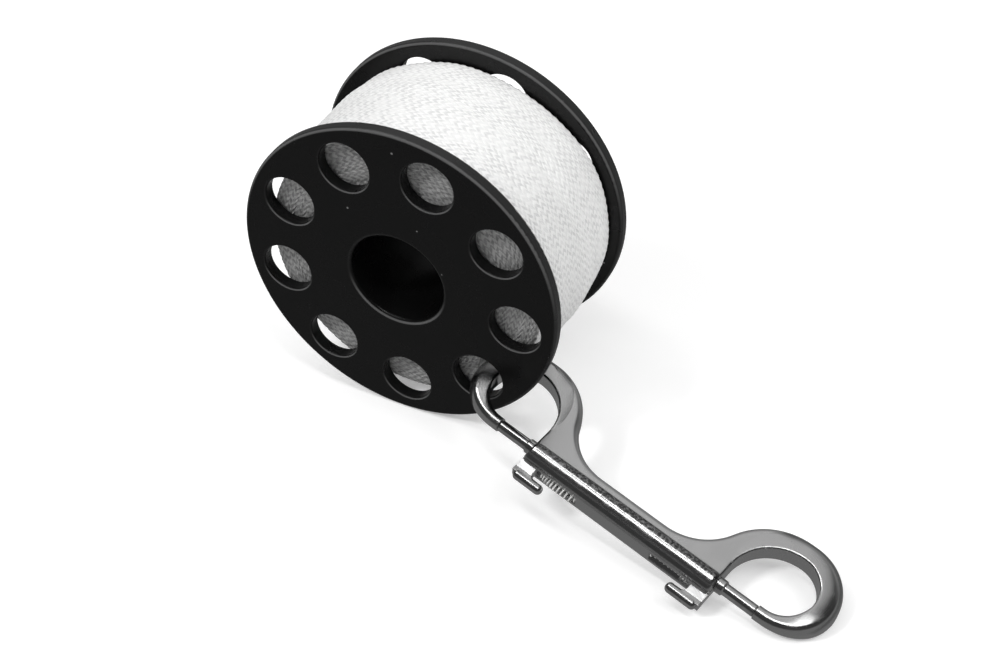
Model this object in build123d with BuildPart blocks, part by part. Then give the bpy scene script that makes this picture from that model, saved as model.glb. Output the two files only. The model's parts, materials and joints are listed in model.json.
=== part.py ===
from build123d import *
import os
from math import acos, cos, degrees, isclose, pi, radians, sin, sqrt

# Diver's finger spool with its wound line and a double-ended bolt snap, in millimetres.
# The origin is at the middle of the finger bore, the spool's axis lies along Y and +Z is up.
# The spool stands on its two rims. The snap hangs in one clip hole and rests on the same surface.

# Spool
flange_diameter = 85.0
spool_width = 44.0
flange_thickness = 3.5
rim_round = 0.9
bore_diameter = 25.0
bore_round = 1.2
hub_wall = 3.2
hub_lap = 7.0
hub_fit = 0.05
clip_hole_diameter = 13.3
clip_rim_wall = 3.85
clip_hole_round = 0.5
clip_hole_count = 9
snap_hole_angle = -47.1

# Line, whose middle lies below the rims and stands above its own edges by the crown
line_rim_depth = 4.6
line_crown = 2.1
line_gap = 0.05
line_diameter = 1.2
row_count = 15
row_pitch = 1.62
line_lead_radius = 1.3
line_end_angle = 135.0
dent_room = 0.8

# Snap's middle: past its clip hole, before the front face and above the surface that it rests on
snap_reach = 46.987
snap_offset = 18.42
snap_lift = 9.46

# Snap in its own frame: X runs along the barrel, Y towards the eyes' arms, Z through the plate
snap_yaw = -14.24
snap_pitch = -8.81
snap_bank = 8.0
plate_thickness = 5.4
spine_height = 3.6
flank_depth = 4.7
flank_round = 1.0
plate_outer_round = 1.9
plate_inner_round = 0.6
gate_start = 27.2
nose_tip = 37.9
eye_end_radius = 7.8
eye_rise_radius = 12.0
eye_height = 9.15
ring_width = 5.6
ring_shift = 0.4
shoulder_radius = 17.0
shoulder_start = 38.2
flare_radius = 14.5
nose_diameter = 3.6
nose_round = 1.75
nose_steps = 5

# Barrel
barrel_width = 5.8
barrel_thickness = 7.0
barrel_shift = 0.9
barrel_end_round = 1.2
barrel_spare = 0.8
slot_width = 2.7
slot_end = 10.9

# Bolts
bolt_travel = 7.0
piston_diameter = 3.8
piston_clearance = 0.06
piston_rear = 22.4
piston_front = 29.3
stem_diameter = 3.0
bolt_chamfer = 0.3
seam_gap = 0.05
stud_diameter = 1.8
stud_depth = 1.4
stud_fit = 0.02

# Thumb slides
neck_start = 22.9
neck_end = 27.4
neck_clearance = 0.15
thumb_start = 18.4
thumb_end = 26.9
thumb_height = 8.0
thumb_diameter = 2.6
thumb_round = 1.2

# Springs: each lies in its slot, just inside the flank, between the slot's end and the neck
spring_wire = 0.4
spring_clearance = 0.12
spring_cover = 0.1
spring_turns = 10
spring_lead_radius = 0.5

# Stations that a coil's arcs run through in each turn
turn_stations = 4

# One overrun for all cuts
overrun = 1.0

# Sizes that follow
flange_radius = flange_diameter / 2
bore_radius = bore_diameter / 2
hub_radius = bore_radius + hub_wall
lap_radius = bore_radius + hub_wall / 2
clip_hole_radius = clip_hole_diameter / 2
clip_circle_radius = flange_radius - clip_rim_wall - clip_hole_radius
half_width = spool_width / 2
inner_face = half_width - flange_thickness
line_middle_radius = flange_radius - line_rim_depth
half_plate = plate_thickness / 2
piston_radius = piston_diameter / 2
stem_radius = stem_diameter / 2
barrel_bore_radius = piston_radius + piston_clearance
barrel_floor = piston_rear - bolt_travel - barrel_spare
spring_radius = slot_width / 2 - spring_clearance - spring_wire / 2
spring_depth = flank_depth - spring_cover - spring_radius - spring_wire / 2
eye_center = gate_start + eye_rise_radius
ring_end = eye_center + eye_end_radius + ring_width
ring_radius = ring_end - eye_center - ring_shift
arm_height = eye_height + ring_radius

yaw = radians(snap_yaw)
pitch = radians(snap_pitch)
bank = radians(snap_bank)
along = Vector(cos(yaw) * cos(pitch), sin(yaw) * cos(pitch), sin(pitch))
level = Vector(-sin(yaw), cos(yaw), 0)
upward = along.cross(level)
sideways = level * cos(bank) + upward * sin(bank)
facing = along.cross(sideways)

snap_hole_x = clip_circle_radius * cos(radians(snap_hole_angle))
snap_center = (snap_hole_x + snap_reach, -half_width - snap_offset, snap_lift - flange_radius)
far_plane = Plane(origin=snap_center, x_dir=along, z_dir=facing)
near_plane = Plane(origin=snap_center, x_dir=-along, z_dir=-facing)
swing_point = near_plane.from_local_coords(Vector(eye_center, eye_height, 0))


def across(plane, distance, height=0):
    """Plane across the barrel, a distance along it, with X towards the arm and Y through the plate."""
    middle = plane.from_local_coords(Vector(distance, height, 0))
    return Plane(origin=middle, x_dir=plane.y_dir, z_dir=plane.x_dir)


def crown(place):
    """Radius of the line under its outer layer at a place across the spool, on one arc."""
    arc_radius = (inner_face**2 + line_crown**2) / (2 * line_crown)
    return line_middle_radius - arc_radius + sqrt(arc_radius**2 - place**2)


def biarc(start, start_way, end, end_way):
    """Two arcs with equal tangent lengths that leave and arrive along the given ways."""
    chord = end - start
    lean = chord.dot(start_way + end_way)
    spread = 2 * (1 - start_way.dot(end_way))
    reach = chord.dot(chord) / (lean + sqrt(lean**2 + spread * chord.dot(chord)))
    middle = (start + end + (start_way - end_way) * reach) / 2
    middle_way = (end - end_way * reach - start - start_way * reach).normalized()
    TangentArc(start, middle, tangent=start_way)
    TangentArc(middle, end, tangent=middle_way)


def coil_stations(plane, seats, coil, turns, radius_at, lead, first_angle):
    """Points and ways of a coil about the plane's Z: straight off a seat, a quarter bend of the
    lead radius, a helix through the stations of each turn, and the same again at the other seat."""
    (low_seat, high_seat), (low, high) = seats, coil
    climb = (high - low) / turns
    stations = []
    for step in range(turn_stations * turns + 1):
        angle = radians(first_angle) + 2 * pi * step / turn_stations
        height = low + climb * step / turn_stations
        radius = radius_at(height)
        outward = plane.x_dir * cos(angle) + plane.y_dir * sin(angle)
        onward = plane.y_dir * cos(angle) - plane.x_dir * sin(angle)
        point = plane.origin + outward * radius + plane.z_dir * height
        way = (onward * radius + plane.z_dir * (climb / (2 * pi))).normalized()
        stations.append((point, way, onward))
    axis = plane.z_dir
    first, _, first_onward = stations[0]
    last, _, last_onward = stations[-1]
    low_bend = first - first_onward * lead - axis * lead
    high_bend = last + last_onward * lead + axis * lead
    low_end = low_bend - axis * (low - lead - low_seat)
    high_end = high_bend + axis * (high_seat - high - lead)
    turned = [(point, way) for point, way, _ in stations]
    return [(low_end, axis), (low_bend, axis), *turned, (high_bend, axis), (high_end, axis)]


def wind(stations, diameter):
    """Sweeps one round wire through the stations; its first and last stretch are straight."""
    with BuildLine() as path:
        Line(stations[0][0], stations[1][0])
        for (start, start_way), (end, end_way) in zip(stations[1:-2], stations[2:-1]):
            biarc(start, start_way, end, end_way)
        Line(stations[-2][0], stations[-1][0])
    with BuildSketch(Plane(origin=stations[0][0], z_dir=stations[0][1])) as section:
        Circle(diameter / 2)
    sweep(section.sketch, path=path.wire())


def least_gap(stations, diameter):
    """Least free distance between a coil's stations that lie most of a turn to two turns apart."""
    points = [point for point, _ in stations]
    spans = range(turn_stations - 1, 2 * turn_stations + 1)
    return min((a - b).length for span in spans for a, b in zip(points, points[span:])) - diameter


def circles_of(part, radius):
    """Circular edges of one radius."""
    circles = part.edges().filter_by(GeomType.CIRCLE)
    return circles.filter_by(lambda edge: isclose(edge.radius, radius, rel_tol=1e-6))


def revolve_half(points):
    """Turns a closed outline of radius and place along the spool round the spool's axis."""
    with BuildSketch(Plane.XY) as profile:
        with BuildLine():
            Polyline(*points, close=True)
        make_face()
    revolve(profile.sketch, axis=Axis.Y)


def cut_clip_holes(low):
    """Nine clip holes on one circle through the disc that starts at a place along the spool."""
    with BuildSketch(Plane.XZ.offset(overrun - low)) as holes:
        with PolarLocations(clip_circle_radius, clip_hole_count, start_angle=snap_hole_angle):
            Circle(clip_hole_radius)
    extrude(holes.sketch, amount=-flange_thickness - 2 * overrun, mode=Mode.SUBTRACT)


def round_flange(flange, outer_face):
    """Rounds on the rim, on the clip holes and on the mouth of the finger bore."""
    fillet(circles_of(flange, flange_radius), radius=rim_round)
    fillet(circles_of(flange, clip_hole_radius), radius=clip_hole_round)
    mouth = circles_of(flange, bore_radius).filter_by_position(Axis.Y, outer_face, outer_face)
    fillet(mouth, radius=bore_round)


# Front flange: a disc with half of the hub, which ends in a spigot
with BuildPart() as front_flange:
    revolve_half(
        [
            (bore_radius, -half_width),
            (flange_radius, -half_width),
            (flange_radius, -inner_face),
            (hub_radius, -inner_face),
            (hub_radius, 0),
            (lap_radius, 0),
            (lap_radius, hub_lap),
            (bore_radius, hub_lap),
        ]
    )
    cut_clip_holes(-half_width)
    round_flange(front_flange, -half_width)

# Rear flange: the same disc, whose half of the hub ends in a socket
with BuildPart() as rear_flange:
    revolve_half(
        [
            (bore_radius, half_width),
            (flange_radius, half_width),
            (flange_radius, inner_face),
            (hub_radius, inner_face),
            (hub_radius, 0),
            (lap_radius + hub_fit, 0),
            (lap_radius + hub_fit, hub_lap + hub_fit),
            (bore_radius, hub_lap + hub_fit),
        ]
    )
    cut_clip_holes(inner_face)
    round_flange(rear_flange, half_width)

# Inner layers of the line: a crowned ring, pressed in where the snap's eye swings through it
with BuildPart() as line_core:
    line_end_face = inner_face - line_gap
    with BuildSketch(Plane.XY):
        with BuildLine():
            surface = ThreePointArc(
                (crown(line_end_face), -line_end_face),
                (line_middle_radius, 0),
                (crown(line_end_face), line_end_face),
            )
            Polyline(
                surface @ 1,
                (hub_radius + line_gap, line_end_face),
                (hub_radius + line_gap, -line_end_face),
                surface @ 0,
            )
        make_face()
    revolve(axis=Axis.Y)
    with BuildSketch(Plane(origin=swing_point, x_dir=along, z_dir=facing)):
        Circle(eye_end_radius + ring_width + dent_room)
    extrude(amount=half_plate + dent_room, both=True, mode=Mode.SUBTRACT)

# Outer layer of the line: one wire in side by side turns, both ends run square into the flanges
winding_plane = Plane(origin=(0, 0, 0), x_dir=(1, 0, 0), z_dir=(0, 1, 0))
last_row = inner_face - line_lead_radius - line_diameter
first_row = last_row - row_count * row_pitch
winding_stations = coil_stations(
    winding_plane,
    (-inner_face, inner_face),
    (first_row, last_row),
    row_count,
    lambda place: crown(place) + line_gap + line_diameter / 2,
    line_lead_radius,
    line_end_angle,
)
with BuildPart() as line_winding:
    wind(winding_stations, line_diameter)
print(f"line_winding: least gap to itself {least_gap(winding_stations, line_diameter):.2f} mm")

# Flat plate of the snap: spine, flank and the arms of both eyes
flare_angle = degrees(acos(1 - (arm_height - spine_height) / (shoulder_radius + flare_radius)))
with BuildPart() as snap_plate:
    with BuildSketch(far_plane) as outline:
        with BuildLine():
            wall_top = eye_height + eye_end_radius - eye_rise_radius
            flank = Line((0, -flank_depth), (gate_start, -flank_depth))
            wall = Line(flank @ 1, (gate_start, wall_top))
            rise = CenterArc((eye_center, wall_top), eye_rise_radius, 180, -90)
            bend = CenterArc((eye_center, eye_height), eye_end_radius, 90, -90)
            cut = Line(bend @ 1, (ring_end, eye_height))
            end = CenterArc((eye_center + ring_shift, eye_height), ring_radius, 0, 90)
            arm = Line(end @ 1, (shoulder_start, arm_height))
            shoulder = JernArc(arm @ 1, (-1, 0), shoulder_radius, flare_angle)
            flare = JernArc(shoulder @ 1, shoulder % 1, flare_radius, -flare_angle)
            spine = Line(flare @ 1, (0, spine_height))
            mirror(about=Plane.YZ)
        make_face()
        corners = outline.vertices().group_by(Axis.Y)[0].sort_by(Axis.X)
        fillet([corners[0], corners[-1]], radius=flank_round)
    extrude(amount=half_plate, both=True)
    for curve, edge_round in ((shoulder, plate_outer_round), (rise, plate_inner_round)):
        middle = curve @ 0.5
        for level_z in (-half_plate, half_plate):
            near_edge = far_plane.from_local_coords(Vector(middle.X, middle.Y, level_z))
            fillet(snap_plate.edges().sort_by_distance(near_edge)[0], radius=edge_round)

# Barrel: rounded ends, a ridge on both faces of the plate
with BuildPart() as snap_barrel:
    with BuildSketch(across(far_plane, 0)):
        with Locations((-barrel_shift, 0)):
            SlotOverall(barrel_thickness, barrel_width, rotation=90)
    extrude(amount=gate_start, both=True)
    ends = snap_barrel.faces().filter_by(Axis(far_plane.origin, along)).edges()
    fillet(ends, radius=barrel_end_round)


def hook(plane):
    """Lofts one eye from its full section at the end of the snap to the round tip of its nose."""
    sections = []
    for step in range(nose_steps + 2):
        angle = radians(-90 * min(step, nose_steps) / nose_steps)
        share = cos(angle) ** 2
        reach = eye_height + (eye_end_radius + ring_width / 2 - eye_height) * share
        spot = Vector(eye_center + reach * cos(angle), eye_height + reach * sin(angle), 0)
        if step > nose_steps:
            spot = Vector(nose_tip, 0, 0)
        outward = plane.x_dir * cos(angle) + plane.y_dir * sin(angle)
        onward = plane.x_dir * sin(angle) - plane.y_dir * cos(angle)
        width = nose_diameter + (ring_width - nose_diameter) * share
        thickness = nose_diameter + (plate_thickness - nose_diameter) * share
        inner_round = nose_round + (plate_inner_round - nose_round) * share
        outer_round = nose_round + (plate_outer_round - nose_round) * share
        with BuildSketch(
            Plane(origin=plane.from_local_coords(spot), x_dir=outward, z_dir=onward)
        ) as section:
            Rectangle(width, thickness)
            fillet(section.vertices().group_by(Axis.X)[0], radius=inner_round)
            fillet(section.vertices().group_by(Axis.X)[-1], radius=outer_round)
        sections.append(section.sketch.face())
    loft(sections)


# Body of the snap: one casting with two hooks, two bores and two slots for the thumb slides
with BuildPart() as snap_body:
    add(snap_plate.part)
    add(snap_barrel.part)
    for plane in (near_plane, far_plane):
        hook(plane)
    for plane in (near_plane, far_plane):
        with BuildSketch(across(plane, barrel_floor)):
            Circle(barrel_bore_radius)
        extrude(amount=gate_start - barrel_floor + overrun, mode=Mode.SUBTRACT)
        slot_plane = Plane(origin=plane.origin, x_dir=plane.x_dir, z_dir=-plane.y_dir)
        with BuildSketch(slot_plane):
            slot_length = gate_start + overrun - slot_end
            with Locations((slot_end + slot_length / 2, 0)):
                Rectangle(slot_length, slot_width)
        extrude(amount=flank_depth + overrun, mode=Mode.SUBTRACT)

parts = {
    "front_flange": front_flange,
    "rear_flange": rear_flange,
    "line_core": line_core,
    "line_winding": line_winding,
    "snap_body": snap_body,
}

# Each end of the snap has a bolt, a thumb slide with its stud in the bolt, and a spring
for side, plane in (("near", near_plane), ("far", far_plane)):
    stud_place = (neck_start + neck_end) / 2
    thumb_plane = Plane(origin=plane.origin, x_dir=plane.x_dir, z_dir=-plane.y_dir)

    with BuildPart() as bolt:
        tip = nose_tip - seam_gap
        with BuildSketch(plane):
            with BuildLine():
                Polyline(
                    (piston_rear, 0),
                    (piston_rear, piston_radius),
                    (piston_front - bolt_chamfer, piston_radius),
                    (piston_front, piston_radius - bolt_chamfer),
                    (piston_front, stem_radius),
                    (tip - bolt_chamfer, stem_radius),
                    (tip, stem_radius - bolt_chamfer),
                    (tip, 0),
                    close=True,
                )
            make_face()
        revolve(axis=Axis(plane.origin, plane.x_dir))
        with BuildSketch(thumb_plane.offset(piston_radius - stud_depth)):
            with Locations((stud_place, 0)):
                Circle(stud_diameter / 2 + stud_fit)
        extrude(amount=stud_depth + overrun, mode=Mode.SUBTRACT)
    parts[f"{side}_bolt"] = bolt

    with BuildPart() as thumb_slide:
        with BuildSketch(thumb_plane.offset(piston_radius + stud_fit)):
            with Locations((stud_place, 0)):
                Rectangle(neck_end - neck_start, slot_width - 2 * neck_clearance)
        extrude(amount=thumb_height - piston_radius)
        with BuildSketch(thumb_plane.offset(piston_radius - stud_depth + stud_fit)):
            with Locations((stud_place, 0)):
                Circle(stud_diameter / 2)
        extrude(amount=stud_depth)
        with BuildSketch(across(plane, thumb_start, -thumb_height)):
            Circle(thumb_diameter / 2)
        extrude(amount=thumb_end - thumb_start)
        bar_ends = circles_of(thumb_slide, thumb_diameter / 2)
        fillet(bar_ends, radius=thumb_round)
    parts[f"{side}_thumb_slide"] = thumb_slide

    spring_end = neck_start - seam_gap
    spring_inset = spring_wire + spring_lead_radius
    spring_stations = coil_stations(
        across(plane, 0, -spring_depth),
        (slot_end, spring_end),
        (slot_end + spring_inset, spring_end - spring_inset),
        spring_turns,
        lambda place: spring_radius,
        spring_lead_radius,
        0,
    )
    with BuildPart() as spring:
        wind(spring_stations, spring_wire)
    parts[f"{side}_spring"] = spring
    print(f"{side}_spring: least gap to itself {least_gap(spring_stations, spring_wire):.2f} mm")

os.makedirs("parts", exist_ok=True)
for name, builder in parts.items():
    builder.part.label = name
    export_step(builder.part, f"parts/{name}.step")
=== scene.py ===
import json
from math import cos, pi, radians, sin

import bpy
import numpy as np
from mathutils import Matrix, Vector


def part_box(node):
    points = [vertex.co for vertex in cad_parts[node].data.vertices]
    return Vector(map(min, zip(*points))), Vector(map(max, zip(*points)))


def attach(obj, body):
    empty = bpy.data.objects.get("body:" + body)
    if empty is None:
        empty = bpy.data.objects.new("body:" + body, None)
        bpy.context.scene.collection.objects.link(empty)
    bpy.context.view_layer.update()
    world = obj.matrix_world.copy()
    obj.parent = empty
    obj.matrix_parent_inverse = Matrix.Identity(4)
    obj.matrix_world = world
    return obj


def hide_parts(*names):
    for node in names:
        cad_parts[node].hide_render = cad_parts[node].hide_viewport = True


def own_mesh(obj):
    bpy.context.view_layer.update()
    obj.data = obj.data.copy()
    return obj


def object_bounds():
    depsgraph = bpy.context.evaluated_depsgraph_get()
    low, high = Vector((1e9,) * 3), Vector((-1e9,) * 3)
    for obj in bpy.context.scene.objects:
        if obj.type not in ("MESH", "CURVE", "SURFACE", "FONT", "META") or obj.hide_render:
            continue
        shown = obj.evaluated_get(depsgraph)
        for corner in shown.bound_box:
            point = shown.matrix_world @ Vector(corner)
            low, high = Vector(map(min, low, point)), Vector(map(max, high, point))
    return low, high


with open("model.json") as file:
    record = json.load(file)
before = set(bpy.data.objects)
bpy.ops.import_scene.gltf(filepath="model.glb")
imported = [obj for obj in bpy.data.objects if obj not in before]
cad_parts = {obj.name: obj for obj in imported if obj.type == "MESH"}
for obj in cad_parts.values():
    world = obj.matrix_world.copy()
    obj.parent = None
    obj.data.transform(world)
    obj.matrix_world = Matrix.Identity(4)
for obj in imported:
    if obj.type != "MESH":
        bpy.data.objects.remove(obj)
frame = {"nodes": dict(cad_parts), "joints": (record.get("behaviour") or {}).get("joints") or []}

bl_info = {
    "name": "Finger Spool",
    "version": (1, 0, 0),
    "blender": (4, 5, 0),
    "location": "View3D > Sidebar > Finger Spool",
    "description": "Winds the line, coils the springs and finishes a finger spool and its bolt snap",
    "category": "Object",
}

MM = 0.001
CAD_BOX = [list(corner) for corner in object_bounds()]
FLANGE_LOW, FLANGE_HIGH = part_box("front_flange")
CORE_LOW, CORE_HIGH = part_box("line_core")
RIM_RADIUS = FLANGE_HIGH.x
FRONT_FACE = FLANGE_LOW.y
FLOOR_LEVEL = CAD_BOX[0][2]
JOINTS = {joint["name"]: joint for joint in frame["joints"]}
ALONG = np.array(JOINTS["near_bolt_slide"]["axis"])
SWING_POINT = np.array(JOINTS["snap_swing"]["pos_m"])
LEVEL = np.cross((0.0, 0.0, 1.0), ALONG)
LEVEL /= np.linalg.norm(LEVEL)

# Flanges: places of the clip holes and the bore, and where their painted highlights lie
HOLE_ANGLE = radians(-47.1)
HOLE_STEP = radians(40.0)
HOLE_CIRCLE = 32.0 * MM
HOLE_RADIUS = 6.65 * MM
BORE_RADIUS = 12.5 * MM
# Painted highlights on the flanges: pale lines on the rims' upper side and on the lower lips of the clip
# holes and the bore
EDGE_FADE_SHARES = (0.1, 0.85)
EDGE_REST = 0.08
EDGE_HIGHLIGHT_COLOUR = (0.1, 0.1, 0.1)
DUST_COLOUR = (0.3, 0.3, 0.3)
# Rims are paler all round by this gain: partly scuff, partly painted sheen for the light that the rims
# catch
SCUFF_AND_SHEEN_GAIN = 6.0

# Line: the surface's steps, the wider winding on the right side, the dent, the braid's drift and painted
# shade on its sides
SIDE_INNER_RADIUS = 23.5 * MM
LINE_CORNER = 1.0 * MM
SIDE_GAP = 0.12 * MM
HUB_RADIUS = 16.0 * MM
SIDE_POINTS = 400
CORNER_POINTS = 60
CROWN_POINTS = 600
PATH_STEPS = 4000
TURN_STEPS = 760
ROW_STEPS = 12
BAND_COUNT = 4
GAIN_MIDDLE = radians(-35.0)
GAIN_INNER = radians(67.0)
GAIN_OUTER = radians(100.0)
DENT_RADIUS = 14.3 * MM
DENT_HALF_WIDTH = 3.4 * MM
DENT_SLOPE = 2.6 * MM
DENT_CROWDING = 0.1
PHASE_KNOTS_PER_TURN = 9
PHASE_SPREAD = 0.16
# Painted shade on the line's sides next to the flanges, as shares of the gap and strand colours
SIDE_GAP_PAINTED_SHADE = 0.31
SIDE_STRAND_PAINTED_SHADE = 0.45

# Snap in its own frame: the eyes' rings, the flank, the barrel's back and the thumb slides' necks
EYE_MIDDLE = (39.2 * MM, 9.15 * MM)
EYE_RADIUS = 7.8 * MM
RING_WIDTH = 5.2 * MM
RING_SINK_SHARE = 0.12
FLANK_START = 2.5 * MM
BACK_EDGE = (-1.3 * MM, -0.8 * MM)
BACK_TOP = (2.72 * MM, 2.85 * MM)
# Painted dark reflection on the barrel's back: its darkest grains go down to this share of the casting's
# colour
BACK_PAINTED_REFLECTION = 0.13
NECK_OUTER = -6.7 * MM
NECK_INNER = -4.4 * MM
# The thumb slides' necks are painted paler than the turned metal: painted sheen on their satin faces
NECK_PAINTED_SHEEN = (0.85, 0.85, 0.85)

# Springs
COIL_STEPS = 28
WIRE_STEPS = 10
CLOSED_TURNS = 0.6
LEAD_SHARE = 0.12
LEAD_DRAW_SHARE = 0.75
CROWDED_SHARE = 0.35
BOW_END_SHARES = (0.08, 0.6)

# Studio: floor, mirrored cards and lamps
FLOOR_HALF_WIDTH = 4.0
CARD_RADIUS = 1.6
CARD_STEPS = 48
CARD_LIFT = 0.05 * MM
CEILING_WAY = (-0.14, 0.48, 0.87)
CEILING_OUTER = radians(38.0)
CEILING_INNER = radians(14.0)
WALL_LEVEL = 0.05
BACK_LEVEL = 0.3
WINDOWS = (
    ((0.236, -0.108, 0.966), radians(13.0), radians(9.0)),
    ((-0.415, 0.116, 0.902), radians(12.0), radians(8.0)),
)
WINDOW_LEVEL = 2.6
# Each lamp: name, the way to it, distance, length, width, power, and whether metal mirrors it
LAMPS = (
    ("strip_light", (-0.22, -0.15, 0.96), 1.0, 1.3, 0.12, 3.0, True),
    ("front_light", (-0.41, -0.51, 0.76), 1.0, 0.2, 0.2, 4.0, False),
    ("side_light", (0.7, 0.15, 0.7), 1.2, 0.9, 0.9, 6.8, False),
)


class LineSettings(bpy.types.PropertyGroup):
    """Sizes and colours of the wound line."""

    row_pitch: bpy.props.FloatProperty(
        name="Row pitch", description="From one turn of line to the next", default=1.62 * MM,
        unit="LENGTH"
    )
    row_depth: bpy.props.FloatProperty(
        name="Row depth", description="Depth of the groove between two turns", default=0.12 * MM,
        unit="LENGTH"
    )
    strand_period: bpy.props.FloatProperty(
        name="Strand period", description="From one braided strand to the next along the line",
        default=2.2 * MM, unit="LENGTH"
    )
    strand_relief: bpy.props.FloatProperty(
        name="Strand relief", description="Height of the strands over the gaps between them",
        default=0.26 * MM, unit="LENGTH"
    )
    strand_slant_share: bpy.props.FloatProperty(
        name="Strand slant", description="Periods that a strand moves on from the row's middle to its edge",
        default=0.45
    )
    edge_radius: bpy.props.FloatProperty(
        name="Edge radius", description="Radius of the line beside the front flange",
        default=36.9 * MM, unit="LENGTH"
    )
    rear_radius: bpy.props.FloatProperty(
        name="Rear radius", description="Radius of the line beside the rear flange",
        default=37.9 * MM, unit="LENGTH"
    )
    side_gain: bpy.props.FloatProperty(
        name="Side gain", description="How much further the line reaches on its right side",
        default=1.5 * MM, unit="LENGTH"
    )
    crown: bpy.props.FloatProperty(
        name="Crown", description="Height of the line's middle over the line between its edges",
        default=1.9 * MM, unit="LENGTH"
    )
    colour: bpy.props.FloatVectorProperty(
        name="Colour", description="Colour of the nylon", default=(0.88, 0.88, 0.875), size=3,
        subtype="COLOR"
    )
    # The gap colour is painted shade in the recesses between the strands
    painted_gap_shade: bpy.props.FloatVectorProperty(
        name="Gap colour", description="Colour between the strands", default=(0.68, 0.68, 0.68), size=3,
        subtype="COLOR"
    )


class SnapSettings(bpy.types.PropertyGroup):
    """Place and sizes of the bolt snap and its springs."""

    center: bpy.props.FloatVectorProperty(
        name="Center", description="Middle of the barrel", default=(68.77 * MM, -40.42 * MM, -33.04 * MM),
        size=3, unit="LENGTH", precision=5
    )
    bank: bpy.props.FloatProperty(
        name="Bank", description="Turn of the plate about the barrel", default=radians(8.0), subtype="ANGLE"
    )
    spring_wire: bpy.props.FloatProperty(
        name="Spring wire", description="Diameter of the spring's wire", default=0.4 * MM, unit="LENGTH",
        precision=5
    )
    spring_radius: bpy.props.FloatProperty(
        name="Spring radius", description="From the spring's axis to the middle of the wire",
        default=1.03 * MM, unit="LENGTH", precision=5
    )
    spring_depth: bpy.props.FloatProperty(
        name="Spring depth", description="From the barrel's axis to the spring's axis, towards the flank",
        default=3.37 * MM, unit="LENGTH", precision=5
    )
    near_bow: bpy.props.FloatProperty(
        name="Near bow", description="How far the near spring's middle bulges out of its slot",
        default=1.3 * MM, unit="LENGTH", precision=5
    )
    far_bow: bpy.props.FloatProperty(
        name="Far bow", description="The same for the far spring, which lies deeper",
        default=-0.6 * MM, unit="LENGTH", precision=5
    )
    spring_start: bpy.props.FloatProperty(
        name="Spring start", description="From the snap's middle to the slot's end, where a spring starts",
        default=10.9 * MM, unit="LENGTH"
    )
    spring_end: bpy.props.FloatProperty(
        name="Spring end", description="From the snap's middle to the neck that a spring presses on",
        default=22.85 * MM, unit="LENGTH"
    )
    spring_turns: bpy.props.IntProperty(
        name="Spring turns", description="Open turns of a spring", default=10
    )


class FinishSettings(bpy.types.PropertyGroup):
    """Colours and gloss of the plastic and the metals."""

    plastic_colour: bpy.props.FloatVectorProperty(
        name="Plastic", description="Colour of the moulded plastic", default=(0.0042, 0.0042, 0.0042),
        size=3, subtype="COLOR"
    )
    plastic_roughness: bpy.props.FloatProperty(
        name="Plastic roughness", description="Roughness of the moulded plastic", default=0.24,
        subtype="FACTOR"
    )
    cast_colour: bpy.props.FloatVectorProperty(
        name="Cast metal", description="Colour of the plated casting", default=(0.6, 0.6, 0.6), size=3,
        subtype="COLOR"
    )
    cast_roughness: bpy.props.FloatProperty(
        name="Cast roughness", description="Roughness of the plated casting", default=0.16, subtype="FACTOR"
    )
    turned_colour: bpy.props.FloatVectorProperty(
        name="Turned metal", description="Colour of the bolts and thumb slides", default=(0.66, 0.66, 0.66),
        size=3, subtype="COLOR"
    )
    wire_colour: bpy.props.FloatVectorProperty(
        name="Spring wire", description="Colour of the springs", default=(0.9, 0.9, 0.89), size=3,
        subtype="COLOR"
    )


class StageSettings(bpy.types.PropertyGroup):
    """Camera, floor and light."""

    camera_place: bpy.props.FloatVectorProperty(
        name="Camera place", description="Where the camera stands",
        default=(150.57 * MM, -279.48 * MM, 249.14 * MM), size=3, unit="LENGTH", precision=5
    )
    azimuth: bpy.props.FloatProperty(
        name="Azimuth", description="Turn of the camera round the spool", default=radians(25.471),
        subtype="ANGLE"
    )
    elevation: bpy.props.FloatProperty(
        name="Elevation", description="Height of the camera over the horizon", default=radians(41.857),
        subtype="ANGLE"
    )
    lens: bpy.props.FloatProperty(
        name="Lens", description="Focal length in millimetres on a 36 mm wide sensor", default=57.643
    )
    floor_colour: bpy.props.FloatVectorProperty(
        name="Floor", description="Colour of the floor", default=(0.86, 0.86, 0.86), size=3,
        subtype="COLOR"
    )
    floor_glow: bpy.props.FloatProperty(
        name="Floor glow", description="Light that the floor adds to look white to the camera", default=0.3
    )
    sky_strength: bpy.props.FloatProperty(
        name="Sky strength", description="Soft light from all round", default=0.33
    )
    ceiling_level: bpy.props.FloatProperty(
        name="Ceiling level", description="Grey of the ceiling patch that the metal mirrors", default=0.6
    )
    ground_level: bpy.props.FloatProperty(
        name="Ground level", description="Grey of the ground that the metal mirrors", default=0.2
    )


def feed(tree, node, inputs):
    """Sets a node's inputs; each is a plain value or the output socket that feeds it."""
    for key, value in inputs.items():
        if isinstance(value, bpy.types.NodeSocket):
            tree.links.new(value, node.inputs[key])
        else:
            node.inputs[key].default_value = value


def put(tree, kind, inputs=None, **settings):
    """Adds a node with these settings and inputs."""
    made = tree.nodes.new(kind)
    for name, value in settings.items():
        setattr(made, name, value)
    feed(tree, made, inputs or {})
    return made


def place(tree, group, inputs):
    """A group node with these inputs."""
    return put(tree, "ShaderNodeGroup", inputs, node_tree=group)


def tone(colour, share=1.0):
    """A colour with its levels times the share, as the four numbers that a node takes."""
    return (*(share * level for level in colour), 1.0)


def calculate(tree, operation, first, second=0.0, third=0.0):
    """Output of one Math node."""
    return put(tree, "ShaderNodeMath", {0: first, 1: second, 2: third}, operation=operation).outputs[0]


def blend_colours(tree, share, first, second):
    """Output of a node that goes from the first colour to the second."""
    made = put(tree, "ShaderNodeMix", {0: share, 6: first, 7: second}, data_type="RGBA")
    return made.outputs[2]


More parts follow.
